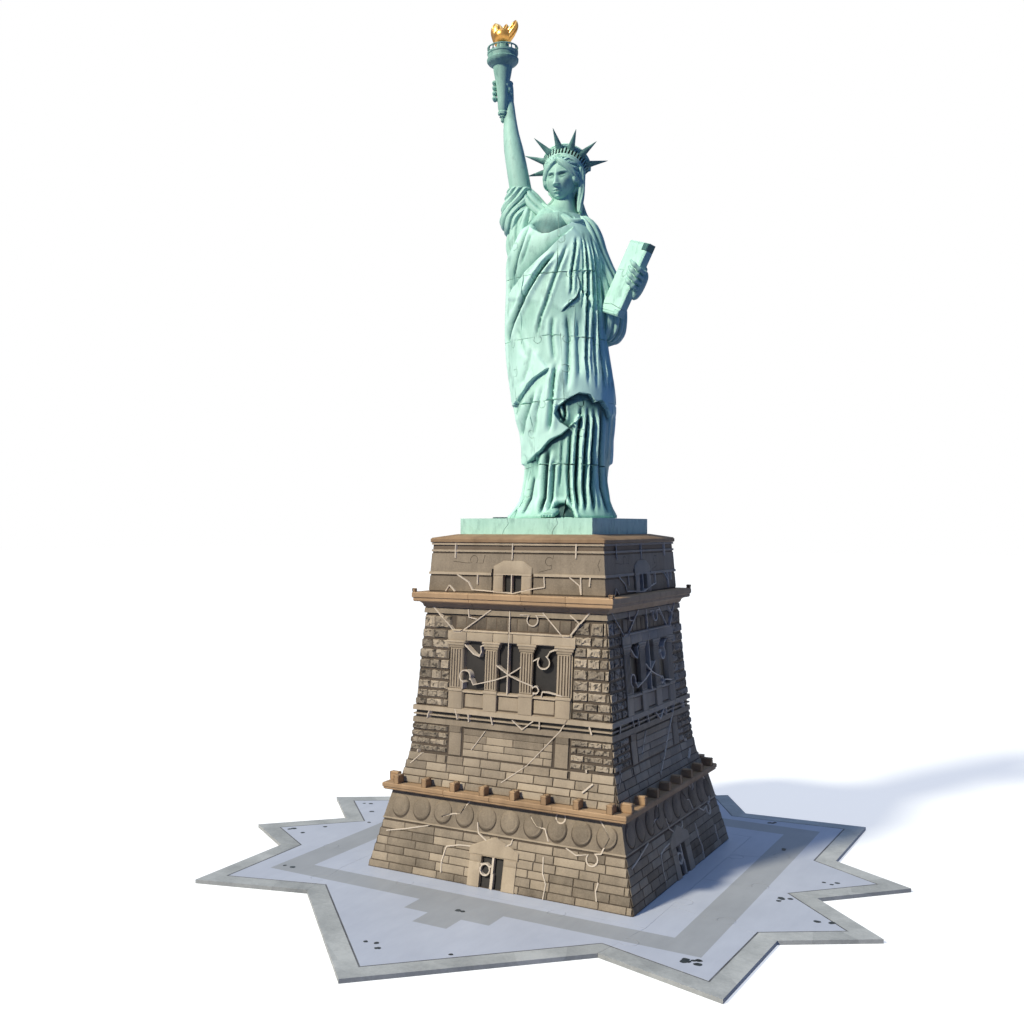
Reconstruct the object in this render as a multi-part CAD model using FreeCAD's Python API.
# Jigsaw landmark model: a robed torch-bearing figure on a stepped stone pedestal,
# standing on an eleven-pointed star base.  Every plate is built of flat or curved
# plastic jigsaw pieces that meet face to face along knobbed seams.
#
# Frame: +Z up, origin on the pedestal's axis at the underside of the star base,
# the front of the pedestal faces -Y.  Sizes are in millimetres.
import FreeCAD, Part
import math
import os

from FreeCAD import Vector

# ---------------------------------------------------------------- driving sizes
base_thickness = 1.6          # star base plate
plate = 2.0                   # wall plates of all three tiers
joint_gap = 0.15              # clearance of a tab in its slot
lift_gap = 0.3                # clearance between the plinth and its locating pad

# Widths are half-widths.  Each tier is set in from the one beneath it.
lower_width_bottom = 62.0
lower_width_top = lower_width_bottom - 8.3
lower_height = 33.4
lower_ledge_width = lower_width_top + 3.6
lower_ledge_height = 3.1
post_width = 2.6              # upstand posts along the lower ledge
post_height = 3.7
posts_per_side = 8
post_pitch = 2 * lower_ledge_width / posts_per_side
ledge_lap = 1.0               # how far a ledge reaches in behind the wall it carries

middle_width_bottom = lower_width_top - 1.4
middle_width_top = middle_width_bottom - 9.2
middle_height = 79.6
middle_batter = 0.08          # inward lean of the straight part, mm per mm
middle_flare = 0.27           # share of the height over which the foot flares out
upper_ledge_width = middle_width_top + 4.8
upper_ledge_height = 4.2
cornice_width = middle_width_top + 2.4      # moulding under the upper ledge
cornice_drop = 2.6
cornice_gap = 0.05
corner_post = 1.8             # small posts on the upper ledge's corners
corner_post_height = 1.6

upper_width_bottom = middle_width_top - 0.7
upper_width_top = upper_width_bottom - 1.5
upper_height = 21.9
plinth_width = 32.0
plinth_height = 7.0
plinth_plate = 2.0
plinth_bow = 3.0              # bow of the plinth's curved seams
slab_width = upper_width_top + 1.0          # hipped slab that closes the pedestal
slab_edge = 2.1
slab_rise = 1.6
slab_hip_width = plinth_width + 1.0
rim_depth = 2.0               # the slab's rim reaches down inside the walls
pad_height = 2.5              # locating pad on the slab, inside the plinth

spine_radius = 3.0            # rod that the figure's rings are threaded on
shell_wall = 2.0              # wall of the figure's shells
former_thickness = 2.0
former_gap = 0.2
row_knob = 0.52               # the rows' knob lies a little left of the figure's middle
spine_above = 8.0             # the rod's reach above the chest, into the neck
figure_height = 138.0         # plinth top to the top of the chest shell
drawn_height = 138.0          # the height at which the figure's sections are stated
rise = figure_height / drawn_height         # stretches the body's sections
lift = figure_height - drawn_height         # carries arms, head, torch and tablet along

knob_radius = 2.2             # round knob of a jigsaw seam
knob_neck = 2.6
lower_columns = 5             # jigsaw pieces along and up each wall
lower_rows = 2
middle_columns = 4
middle_rows = 4
upper_columns = 4
upper_rows = 1

ring_width = lower_width_bottom + 8.0       # half-width of the star base's centre piece
base_knob = 1.6               # the base's knobs are this much larger than the walls'
far = 2 * lower_width_bottom  # reach of cutting shapes, beyond every wall
tab_width = 14.0              # feet of the lower walls, through the base
tab_inset = 0.1               # a foot is this much thinner than its wall on each face
tongue_width = 12.0           # tongues of the decks, let into the ledges
tongue_depth = 3.0
tongue_height = 1.5
deck_thickness = 2.6

SIDES = ("front", "right", "back", "left")

# ---------------------------------------------------------------- heights
lower_z = base_thickness
lower_ledge_z = lower_z + lower_height
middle_z = lower_ledge_z + lower_ledge_height
upper_ledge_z = middle_z + middle_height
upper_z = upper_ledge_z + upper_ledge_height
slab_z = upper_z + upper_height
plinth_z = slab_z + slab_edge + slab_rise
figure_z = plinth_z + plinth_height
chest_z = figure_z + figure_height

# the corner points and notches of the right half of the star, from the front
STAR_HALF = ((0, -166), (64.4, -101.4), (113, -115.5), (115, -57), (147.5, -35.7),
             (117, -3), (147.5, 29.3), (113, 52), (114, 117), (55.6, 112.1),
             (36, 146), (0, 118))

# seams of the star base that run from each notch to the centre piece
STAR_SEAMS = (((64.4, -101.4), (ring_width, -ring_width)), ((115, -57), (ring_width, -42)),
              ((117, -3), (ring_width, -3)), ((113, 52), (ring_width, 36)),
              ((55.6, 112.1), (46, ring_width)))

# the robed figure: height above the plinth, centre x, half-width and half-depth
BODY = ((0.0, 3.3, 25.6, 22.5), (7.0, 4.6, 21.0, 19.0), (17.0, 5.3, 18.6, 17.5),
        (30.0, 6.0, 19.4, 18.0), (52.0, 4.0, 22.3, 19.5), (79.0, 0.4, 22.6, 19.0),
        (108.0, 0.0, 22.0, 17.5), (126.0, -0.8, 20.4, 15.5), (138.0, 0.5, 11.5, 10.5))
ROW_NAMES = ("hem", "knee", "hip", "waist", "chest")
ROW_CUTS = tuple(rise * height for height in (23.0, 52.0, 80.0, 110.0))
FORMER_HEIGHTS = tuple(rise * height for height in (12.0, 38.0, 66.0, 95.0, 120.0))

# limb sections: height above the plinth, centre, half-widths
ARM = ((148.0, -17.6, 5.2), (157.5, -19.0, 4.9), (171.5, -21.6, 4.5),
       (185.5, -24.2, 3.2), (196.5, -25.6, 2.9))
SLEEVE = ((128.0, -15.5, 9.0), (134.0, -17.2, 8.0), (141.0, -19.0, 8.8),
          (147.0, -18.6, 7.4), (154.0, -18.8, 5.8))
HAND = ((196.5, -26.0, 3.2, 3.1), (200.5, -26.7, 4.8, 4.4), (206.0, -26.9, 4.8, 4.4),
        (210.0, -27.1, 3.6, 3.4))
torch_x = -27.7
# turned outlines of the torch: radius and height above the plinth
HANDLE = ((0.5, 186.2), (2.1, 190.0), (2.6, 198.5), (3.2, 205.0), (4.1, 213.5))
GALLERY = ((4.1, 213.5), (7.3, 216.2), (7.3, 222.6), (6.5, 222.6), (6.5, 219.5),
           (3.2, 219.5), (3.2, 224.9))
FLAME = ((3.2, 224.9), (5.0, 226.5), (5.2, 229.0), (4.6, 231.5), (1.0, 235.2))

TABLET_CORNER = Vector(34.0, -9.8, figure_z + lift + 88.1)   # near lower corner of its face
TABLET_WIDE = Vector(-0.7873, 0.5169, 0.3361)                # across the face
TABLET_LONG = Vector(0.4240, 0.0578, 0.9042)                 # up the face
tablet_width = 15.0
tablet_length = 33.4
tablet_thickness = 3.6

LEFT_SLEEVE = ((79.0, 24.0, 5.0, 3.0, 3.0), (84.0, 25.5, 6.0, 7.4, 6.4),
               (92.0, 26.0, 7.0, 7.6, 7.0), (101.0, 26.5, 7.0, 7.0, 6.6),
               (110.0, 25.0, 7.0, 5.8, 6.0), (116.0, 22.5, 6.5, 3.4, 4.4))
LEFT_HAND = ((94.0, 29.5, 4.5, 2.4, 2.4), (99.0, 35.5, 1.5, 2.6, 2.8),
             (104.7, 42.0, -3.0, 4.2, 4.4), (108.7, 43.5, -3.4, 4.0, 4.2),
             (112.2, 43.9, -3.4, 2.0, 2.4))
# the foot below the hem: height above the plinth, centre, half-widths
FOOT = ((0.0, 6.0, -20.5, 4.0, 6.5), (2.0, 6.0, -20.5, 3.4, 5.6), (3.6, 6.0, -20.0, 1.6, 3.2))

head_x = 3.3
head_y = -0.5
head_radius = 7.2
head_z = chest_z + 17.5
head_half_height = 10.6
neck_radius = 5.0
hair_radius = 8.7
hair_back = 1.6               # the hair's ball lies behind and above the head's middle
hair_up = 1.5
tail_length = 16.0            # gathered hair down the back of the neck
tail_top = 4.2
tail_foot = 5.4
band_radius = 9.8             # crown band
band_wall = 1.4
band_height = 5.6
band_tilt = 45.0              # the band leans back, front edge up
band_sweep = 216.0            # the band runs round the front of the head only
band_lift = 3.7               # the band's foot above the head's middle
band_back = 2.6
ray_count = 7
ray_length = 10.0
ray_radius = 1.2
ray_tip = 0.15
ray_root = 0.3                # a ray's foot is let into the band
ray_flare = 0.12
ray_spread = 186.0            # angle from the first ray to the last
chain_radius = 1.1            # links of the broken chain, laid end to end
chain_wire = 0.45
chain_pitch = 3.1
chain_start = -26.2
chain_links = 3

os.makedirs("parts", exist_ok=True)
saved = []


# ---------------------------------------------------------------- helpers
def save(name, solids):
    """Write one node, a solid or a group of solids, to its own STEP file."""
    group = solids if isinstance(solids, (list, tuple)) else [solids]
    flat = [solid for shape in group for solid in shape.Solids]
    shape = flat[0] if len(flat) == 1 else Part.makeCompound(flat)
    shape.exportStep("parts/%s.step" % name)
    saved.append(name)
    faulty = sum(1 for solid in flat if not solid.isValid())
    print("%-20s solids %2d  volume %9.1f  faulty %d" % (name, len(flat), shape.Volume, faulty))


def box(x0, x1, y0, y1, z0, z1):
    return Part.makeBox(x1 - x0, y1 - y0, z1 - z0, Vector(x0, y0, z0))


def turned(shape, quarter):
    """A copy of a front piece, turned to face another side."""
    copy = shape.copy()
    copy.rotate(Vector(0, 0, 0), Vector(0, 0, 1), 90 * quarter)
    return copy


def knobbed(start, end, side=1, normal=Vector(0, 1, 0), size=1.0, place=0.5):
    """Edges from start to end with one round knob, which stands out to a side."""
    run = (end - start).normalize()
    out = run.cross(normal) * side
    radius = size * knob_radius
    half_neck = size * knob_neck / 2
    middle = start + (end - start) * place
    first = middle - run * half_neck
    last = middle + run * half_neck
    reach = radius + math.sqrt(radius ** 2 - half_neck ** 2)
    return [Part.LineSegment(start, first).toShape(),
            Part.Arc(first, middle + out * reach, last).toShape(),
            Part.LineSegment(last, end).toShape()]


def level_knob(start, end, side):
    """A knobbed seam line that lies in the base's plane."""
    return knobbed(start, end, side, Vector(0, 0, 1), base_knob)


def seam(edges, through):
    """A cutting face: a seam line swept straight through a plate."""
    return Part.Wire(Part.__sortEdges__(edges)).extrude(through)


def cut_up(solid, seams):
    """The separate jigsaw pieces that a plate falls into along its seams."""
    if not seams:
        return [solid]
    fused, _ = solid.generalFuse(seams)
    return [piece for piece in fused.Solids if piece.Volume > 1.0]


def shell_of(points_bottom, points_top):
    """A closed solid between two level polygons with the same number of corners."""
    count = len(points_bottom)
    faces = [Part.Face(Part.makePolygon(points_bottom + points_bottom[:1])),
             Part.Face(Part.makePolygon(points_top + points_top[:1]))]
    for i in range(count):
        j = (i + 1) % count
        corners = [points_bottom[i], points_bottom[j], points_top[j], points_top[i]]
        faces.append(Part.Face(Part.makePolygon(corners + corners[:1])))
    solid = Part.Solid(Part.Shell(faces))
    return solid if solid.Volume > 0 else solid.reversed()


def mitred_wall(bottom, top, z0, z1, thick):
    """A leaning front plate whose ends are mitred on the corner planes."""
    def corners(width, z):
        inner = width - thick
        return [Vector(-width, -width, z), Vector(width, -width, z),
                Vector(inner, -inner, z), Vector(-inner, -inner, z)]
    return shell_of(corners(bottom, z0), corners(top, z1))


def wedge(z0, z1):
    """The front quarter of space, between the two corner planes."""
    corners = [Vector(0, 0, z0), Vector(far, -far, z0), Vector(-far, -far, z0)]
    return Part.Face(Part.makePolygon(corners + corners[:1])).extrude(Vector(0, 0, z1 - z0))


def wall_seams(half_width, z0, z1, columns, rows):
    """Seams of a front wall: upright seams and level seams, each with its knobs."""
    through = Vector(0, half_width, 0)
    faces = []
    level = -half_width - 1
    step = (z1 - z0) / rows
    pitch = 2 * half_width / columns
    for i in range(1, columns):
        x = -half_width + i * pitch
        edges = []
        for j in range(rows):
            low = Vector(x, level, z0 + j * step)
            high = Vector(x, level, z0 + (j + 1) * step)
            edges += knobbed(low, high, 1 if (i + j) % 2 else -1)
        faces.append(seam(edges, through))
    for j in range(1, rows):
        edges = []
        z = z0 + j * step
        for i in range(columns):
            a = -half_width + i * pitch - (pitch if i == 0 else 0)
            b = -half_width + (i + 1) * pitch + (pitch if i == columns - 1 else 0)
            place = (-half_width + (i + 0.5) * pitch - a) / (b - a)
            edges += knobbed(Vector(a, level, z), Vector(b, level, z),
                             1 if (i + j) % 2 else -1, place=place)
        faces.append(seam(edges, through))
    return faces


def round_loft(rows):
    """A smooth solid through level ellipses: height, centre x, centre y, half sizes."""
    wires = []
    for height, x, y, half_x, half_y in rows:
        centre = Vector(x, y, height)
        along_x = centre + Vector(half_x, 0, 0)
        along_y = centre + Vector(0, half_y, 0)
        if half_y > half_x:
            ring = Part.Ellipse(along_y, along_x, centre)
        elif half_y < half_x:
            ring = Part.Ellipse(along_x, along_y, centre)
        else:
            ring = Part.Circle(centre, Vector(0, 0, 1), half_x)
        wires.append(Part.Wire(ring.toShape()))
    return Part.makeLoft(wires, True, False)


def limb(rows):
    """A loft of a part that is carried on the body, from heights above the plinth."""
    base = figure_z + lift
    return round_loft([(base + height, *rest) for height, *rest in rows])


def round_limb(rows):
    """The same for circles centred in depth: height, centre x and radius."""
    return limb([(height, x, 0, radius, radius) for height, x, radius in rows])


def turned_profile(x, profile):
    """A solid of revolution about an upright axis, from (radius, height) points."""
    base = figure_z + lift
    points = [Vector(x + radius, 0, base + height) for radius, height in profile]
    bottom = Vector(x, 0, base + profile[0][1])
    top = Vector(x, 0, base + profile[-1][1])
    face = Part.Face(Part.makePolygon([bottom] + points + [top, bottom]))
    return face.revolve(bottom, Vector(0, 0, 1), 360)


# ---------------------------------------------------------------- pedestal
def tab_boxes(extra=0.0):
    """The feet under one front wall, grown by a clearance where they are slots."""
    outer = lower_width_bottom - tab_inset
    inner = lower_width_bottom - plate + tab_inset
    place = 2 * lower_width_bottom / lower_columns        # under the middle of a piece
    return [box(x - tab_width / 2 - extra, x + tab_width / 2 + extra, -outer - extra,
                -inner + extra, 0, base_thickness) for x in (-place, place)]


def star_base():
    """The star-shaped plate: a centre piece and one piece for each point."""
    right = [Vector(x, y, 0) for x, y in STAR_HALF]
    left = [Vector(-x, y, 0) for x, y in reversed(STAR_HALF[1:-1])]
    outline = right + left
    star = Part.Face(Part.makePolygon(outline + outline[:1])).extrude(Vector(0, 0, base_thickness))
    up = Vector(0, 0, base_thickness)
    seams = []
    edges = []
    ring = [Vector(ring_width, -ring_width, 0), Vector(ring_width, ring_width, 0),
            Vector(-ring_width, ring_width, 0), Vector(-ring_width, -ring_width, 0)]
    for i in range(4):
        start, end = ring[i], ring[(i + 1) % 4]
        for j in range(2):
            a = start + (end - start) * (j / 2)
            b = start + (end - start) * ((j + 1) / 2)
            edges += level_knob(a, b, 1)
    seams.append(seam(edges, up))
    for notch, inner in STAR_SEAMS:
        for mirror in (1, -1):
            a = Vector(notch[0] * mirror, notch[1], 0)
            b = Vector(inner[0] * mirror, inner[1], 0)
            seams.append(seam(level_knob(a, b, mirror), up))
    seams.append(seam(level_knob(Vector(0, STAR_HALF[-1][1], 0), Vector(0, ring_width, 0), 1), up))
    for quarter in range(4):
        for slot in tab_boxes(joint_gap):
            star = star.cut(turned(slot, quarter))
    groups = {"base_centre": [], "base_front": [], "base_right": [], "base_left": [],
              "base_back": []}
    for piece in cut_up(star, seams):
        at = piece.CenterOfMass
        if abs(at.x) < ring_width / 2 and abs(at.y) < ring_width / 2:
            groups["base_centre"].append(piece)
        elif at.y > ring_width:
            groups["base_back"].append(piece)
        elif at.y < -ring_width and abs(at.x) < ring_width / 2:
            groups["base_front"].append(piece)
        else:
            groups["base_right" if at.x > 0 else "base_left"].append(piece)
    for name, pieces in groups.items():
        save(name, pieces)


def lower_walls():
    wall = mitred_wall(lower_width_bottom, lower_width_top, lower_z, lower_ledge_z, plate)
    seams = wall_seams(lower_width_bottom, lower_z, lower_ledge_z, lower_columns, lower_rows)
    for tab in tab_boxes():
        wall = wall.fuse(tab)
    pieces = cut_up(wall, seams)
    for quarter, side in enumerate(SIDES):
        save("lower_wall_" + side, [turned(piece, quarter) for piece in pieces])


def ledge_section(points, z0, z1):
    """A straight moulding with the given outline, mitred into the front quarter."""
    outline = [Vector(-far, -y, z) for y, z in points]
    bar = Part.Face(Part.makePolygon(outline + outline[:1])).extrude(Vector(2 * far, 0, 0))
    return bar.common(wedge(z0 - 1, z1 + 1))


def deck(width, z, name):
    """A level deck inside a ledge, held by one tongue on each side."""
    plate_solid = box(-width, width, -width, width, z - deck_thickness, z)
    for quarter in range(4):
        tongue = box(-tongue_width / 2, tongue_width / 2, -width - tongue_depth, -width,
                     z - deck_thickness, z - deck_thickness + tongue_height)
        plate_solid = plate_solid.fuse(turned(tongue, quarter))
    save(name, plate_solid.removeSplitter())


def tongue_slot(width, z):
    return box(-tongue_width / 2 - joint_gap, tongue_width / 2 + joint_gap,
               -width - tongue_depth - joint_gap, -width, z - deck_thickness - joint_gap,
               z - deck_thickness + tongue_height + joint_gap)


def lower_ledges():
    """The lower ledge: four rails, each with its row of upstand posts."""
    inner = middle_width_bottom - plate - ledge_lap
    outer = lower_ledge_width
    z0, z1 = lower_ledge_z, middle_z
    rail = ledge_section([(inner, z0), (outer, z0), (outer, z1), (inner, z1)], z0, z1)
    rail = rail.cut(tongue_slot(inner, z1))
    back = middle_width_bottom + joint_gap
    for i in range(posts_per_side):
        x = (i - (posts_per_side - 1) / 2) * post_pitch
        rail = rail.fuse(box(x - post_width / 2, x + post_width / 2, -outer, -back,
                             z1, z1 + post_height))
    rail = rail.removeSplitter()
    for quarter, side in enumerate(SIDES):
        save("lower_ledge_" + side, turned(rail, quarter))
    deck(inner, z1, "lower_deck")


def middle_outline():
    """Outer line of the middle wall: a straight batter that flares out in an arc."""
    top = (middle_width_top, upper_ledge_z)
    drop = middle_width_bottom - middle_width_top - middle_batter * middle_height
    flare = middle_flare * middle_height
    knee_z = middle_z + flare
    knee = (middle_width_top + middle_batter * (upper_ledge_z - knee_z), knee_z)
    half_z = middle_z + flare / 2
    half = (middle_width_top + middle_batter * (upper_ledge_z - half_z) + drop / 4, half_z)
    return top, knee, half, (middle_width_bottom, middle_z)


def middle_walls():
    top, knee, half, bottom = [Vector(-far, -y, z) for y, z in middle_outline()]
    inward = Vector(0, plate, 0)
    edges = [Part.LineSegment(top, knee).toShape(),
             Part.Arc(knee, half, bottom).toShape(),
             Part.LineSegment(bottom, bottom + inward).toShape(),
             Part.Arc(bottom + inward, half + inward, knee + inward).toShape(),
             Part.LineSegment(knee + inward, top + inward).toShape(),
             Part.LineSegment(top + inward, top).toShape()]
    section = Part.Face(Part.Wire(Part.__sortEdges__(edges)))
    wall = section.extrude(Vector(2 * far, 0, 0)).common(wedge(middle_z - 1, upper_ledge_z + 1))
    seams = wall_seams(middle_width_bottom, middle_z, upper_ledge_z, middle_columns, middle_rows)
    pieces = cut_up(wall, seams)
    for quarter, side in enumerate(SIDES):
        save("middle_wall_" + side, [turned(piece, quarter) for piece in pieces])


def upper_ledges():
    """The upper ledge: four rails with a cornice beneath and a post at each corner."""
    inner = upper_width_bottom - plate - ledge_lap
    z0, z1 = upper_ledge_z, upper_z
    outer = upper_ledge_width
    face = middle_width_top + cornice_gap
    foot = face + middle_batter * cornice_drop
    outline = [(inner, z0), (face, z0), (foot, z0 - cornice_drop), (cornice_width, z0),
               (outer, z0), (outer, z1), (inner, z1)]
    rail = ledge_section(outline, z0 - cornice_drop, z1)
    rail = rail.cut(tongue_slot(inner, z1))
    corner = box(-outer, -outer + corner_post, -outer, -outer + corner_post, z1,
                 z1 + corner_post_height)
    corner = corner.common(wedge(z0, z1 + 2 * corner_post_height))
    rail = rail.fuse([corner, corner.mirror(Vector(0, 0, 0), Vector(1, 0, 0))])
    rail = rail.removeSplitter()
    for quarter, side in enumerate(SIDES):
        save("upper_ledge_" + side, turned(rail, quarter))
    deck(inner, z1, "upper_deck")


def upper_walls():
    wall = mitred_wall(upper_width_bottom, upper_width_top, upper_z, slab_z, plate)
    seams = wall_seams(upper_width_bottom, upper_z, slab_z, upper_columns, upper_rows)
    pieces = cut_up(wall, seams)
    for quarter, side in enumerate(SIDES):
        save("upper_wall_" + side, [turned(piece, quarter) for piece in pieces])


def square(width, z):
    return [Vector(-width, -width, z), Vector(width, -width, z), Vector(width, width, z),
            Vector(-width, width, z)]


def top_slab():
    """The hipped slab, with a rim inside the walls and a pad inside the plinth."""
    edge = box(-slab_width, slab_width, -slab_width, slab_width, slab_z, slab_z + slab_edge)
    hip = shell_of(square(slab_width, slab_z + slab_edge), square(slab_hip_width, plinth_z))
    rim_width = upper_width_top - plate - joint_gap
    rim = box(-rim_width, rim_width, -rim_width, rim_width, slab_z - rim_depth, slab_z)
    pad_width = plinth_width - plinth_plate - lift_gap
    pad = box(-pad_width, pad_width, -pad_width, pad_width, plinth_z, plinth_z + pad_height)
    slab = edge.fuse([hip, rim, pad]).removeSplitter()
    save("top_slab", slab)


# ---------------------------------------------------------------- plinth and figure
def plinth():
    wall = mitred_wall(plinth_width, plinth_width, plinth_z, figure_z, plinth_plate)
    seams = []
    level = -plinth_width - 1
    for x in (-0.3 * plinth_width, 0.45 * plinth_width):
        low = Vector(x - 2, level, plinth_z)
        high = Vector(x + 2, level, figure_z)
        bend = (low + high) * 0.5 + Vector(plinth_bow, 0, 0)
        seams.append(seam([Part.Arc(low, bend, high).toShape()], Vector(0, plinth_width, 0)))
    pieces = cut_up(wall, seams)
    for quarter, side in enumerate(SIDES):
        save("plinth_" + side, [turned(piece, quarter) for piece in pieces])
    inner = plinth_width - plinth_plate
    lid = box(-inner, inner, -inner, inner, figure_z - plinth_plate, figure_z)
    save("plinth_top", lid.cut(spine()))


def body_rows(shrink):
    return [(figure_z + rise * height, x, 0, a - shrink, b - shrink)
            for height, x, a, b in BODY]


def spine():
    """The rod from the plinth's top to the neck."""
    length = plinth_plate + figure_height + spine_above
    return Part.makeCylinder(spine_radius, length, Vector(BODY[0][1], 0, figure_z - plinth_plate))


def gown(outer, inner, rod):
    """The figure's shell, cut into five rows, each with a front and a back half."""
    core = box(-far, far, -far, far, figure_z - 1, chest_z - shell_wall - 1)
    shell = outer.cut(inner.common(core)).cut(rod)
    seams = []
    for i, height in enumerate(ROW_CUTS):
        a = Vector(-far, -far, figure_z + height)
        b = Vector(far, -far, figure_z + height)
        seams.append(seam(knobbed(a, b, 1 if i % 2 else -1, place=row_knob), Vector(0, 2 * far, 0)))
    before = box(-far, far, -far, 0, figure_z - 1, chest_z + 1)
    halves = (("front", shell.common(before)), ("back", shell.cut(before)))
    for half, solid in halves:
        pieces = sorted(cut_up(solid, seams), key=lambda piece: piece.CenterOfMass.z)
        rows = [[] for _ in ROW_NAMES]
        for piece in pieces:
            height = piece.CenterOfMass.z - figure_z
            rows[sum(1 for cut in ROW_CUTS if height > cut)].append(piece)
        for name, row in zip(ROW_NAMES, rows):
            save("gown_%s_%s" % (name, half), row)


def formers(rod):
    """Level discs inside the shell that keep it round and centre it on the rod."""
    core = round_loft(body_rows(shell_wall + former_gap))
    discs = []
    for height in FORMER_HEIGHTS:
        z = figure_z + height
        slab = box(-far, far, -far, far, z, z + former_thickness)
        discs.append(core.common(slab).cut(rod))
    save("body_formers", discs)


def figure():
    outer = round_loft(body_rows(0.0))
    inner = round_loft(body_rows(shell_wall))
    rod = spine()
    gown(outer, inner, rod)
    formers(rod)
    save("figure_spine", rod)
    right_arm(outer)
    left_arm(outer)
    head_parts(outer, rod)
    feet(outer)


def largest(shape):
    return max(shape.Solids, key=lambda solid: solid.Volume)


def right_arm(outer):
    """The raised arm with its sleeve, and the torch in its hand."""
    handle = turned_profile(torch_x, HANDLE)
    arm = round_limb(ARM).cut(handle)
    save("right_sleeve", largest(round_limb(SLEEVE).cut(outer).cut(arm)))
    save("right_arm", largest(arm))
    save("right_hand", largest(limb([(h, x, 0, a, b) for h, x, a, b in HAND]).cut(handle).cut(arm)))
    save("torch_handle", handle)
    save("torch_gallery", turned_profile(torch_x, GALLERY))
    save("torch_flame", turned_profile(torch_x, FLAME))


def left_arm(outer):
    """The bent arm in its sleeve, and the hand that holds the tablet."""
    tablet = tablet_solid().cut(outer)
    sleeve = limb(LEFT_SLEEVE).cut(outer).cut(tablet)
    hand = limb(LEFT_HAND).cut(tablet).cut(sleeve)
    save("tablet", largest(tablet))
    save("left_sleeve", largest(sleeve))
    save("left_hand", largest(hand))


def tablet_solid():
    across = TABLET_WIDE * tablet_width
    along = TABLET_LONG * tablet_length
    back = TABLET_WIDE.cross(TABLET_LONG)
    if back.y < 0:
        back = back * -1
    start = TABLET_CORNER
    corners = [start, start + across, start + across + along, start + along]
    face = Part.Face(Part.makePolygon(corners + corners[:1]))
    return face.extrude(back.normalize() * tablet_thickness)


def head_parts(outer, rod):
    """Head with its neck, hair behind it, the crown's band and its rays."""
    up = Vector(0, 0, 1)
    middle = Vector(head_x, head_y, head_z)
    oval = Part.Ellipse(middle + up * head_half_height, middle + Vector(head_radius, 0, 0), middle)
    half = Part.ArcOfEllipse(oval, 0, math.pi)
    closing = Part.LineSegment(half.EndPoint, half.StartPoint)
    skull = Part.Face(Part.Wire([half.toShape(), closing.toShape()]))
    foot = chest_z - 2 * shell_wall
    neck = Part.makeCylinder(neck_radius, head_z - foot, Vector(head_x, head_y, foot))
    head = skull.revolve(middle, up, 360).cut(rod).fuse(neck.cut(outer).cut(rod))
    tube = crown_band()
    hair = hair_solid().cut(head).cut(outer).cut(tube)
    save("head", largest(head))
    save("hair", largest(hair))
    save("crown_band", tube)
    save("crown_rays", crown_rays(tube))


def hair_solid():
    """A ball of hair behind the head, gathered into a tail."""
    ball = Part.makeSphere(hair_radius, Vector(head_x, head_y + hair_back, head_z + hair_up))
    tail_y = head_y + hair_back + tail_top - 0.6
    tail = Part.makeCone(tail_foot, tail_top, tail_length,
                         Vector(head_x, tail_y, head_z + 0.5 - tail_length))
    face = box(-far, far, -far, head_y - hair_back, figure_z, head_z + far)
    return ball.fuse(tail).cut(face)


def crown_place():
    """Where the crown sits: on the head, with its front edge up."""
    lean = FreeCAD.Rotation(Vector(1, 0, 0), -band_tilt)
    return FreeCAD.Placement(Vector(head_x, head_y + band_back, head_z + band_lift), lean)


def crown_band():
    tube = Part.makeCylinder(band_radius, band_height)
    tube = tube.cut(Part.makeCylinder(band_radius - band_wall, band_height))
    half = math.radians(180 - band_sweep / 2)
    reach = 4 * band_radius
    gap = [Vector(0, 0, 0), Vector(reach * math.sin(half), reach * math.cos(half), 0),
           Vector(0, 2 * reach, 0), Vector(-reach * math.sin(half), reach * math.cos(half), 0)]
    tube = tube.cut(Part.Face(Part.makePolygon(gap + gap[:1])).extrude(Vector(0, 0, band_height)))
    tube.Placement = crown_place()
    return tube


def crown_rays(tube):
    rays = []
    for i in range(ray_count):
        angle = math.radians(-90 + (i / (ray_count - 1) - 0.5) * ray_spread)
        out = Vector(math.cos(angle), math.sin(angle), 0)
        foot = out * (band_radius - ray_root) + Vector(0, 0, 0.7 * band_height)
        way = (out + Vector(0, 0, ray_flare)).normalize()
        ray = Part.makeCone(ray_radius, ray_tip, ray_length, foot, way)
        ray.Placement = crown_place().multiply(ray.Placement)
        rays.append(largest(ray.cut(tube)))
    return rays


def feet(outer):
    """A foot under the hem in front and the open chain beside it."""
    foot = round_loft([(figure_z + height, *rest) for height, *rest in FOOT])
    save("front_foot", largest(foot.cut(outer)))
    links = []
    for i in range(chain_links):
        link = Part.makeTorus(chain_radius, chain_wire)
        link.translate(Vector(chain_start - chain_pitch * i, 2.0, figure_z + chain_wire))
        links.append(link)
    save("broken_chain", links)


star_base()
lower_walls()
lower_ledges()
middle_walls()
upper_ledges()
upper_walls()
top_slab()
plinth()
figure()
print("nodes", len(saved), "highest point", round(figure_z + lift + FLAME[-1][1], 1))
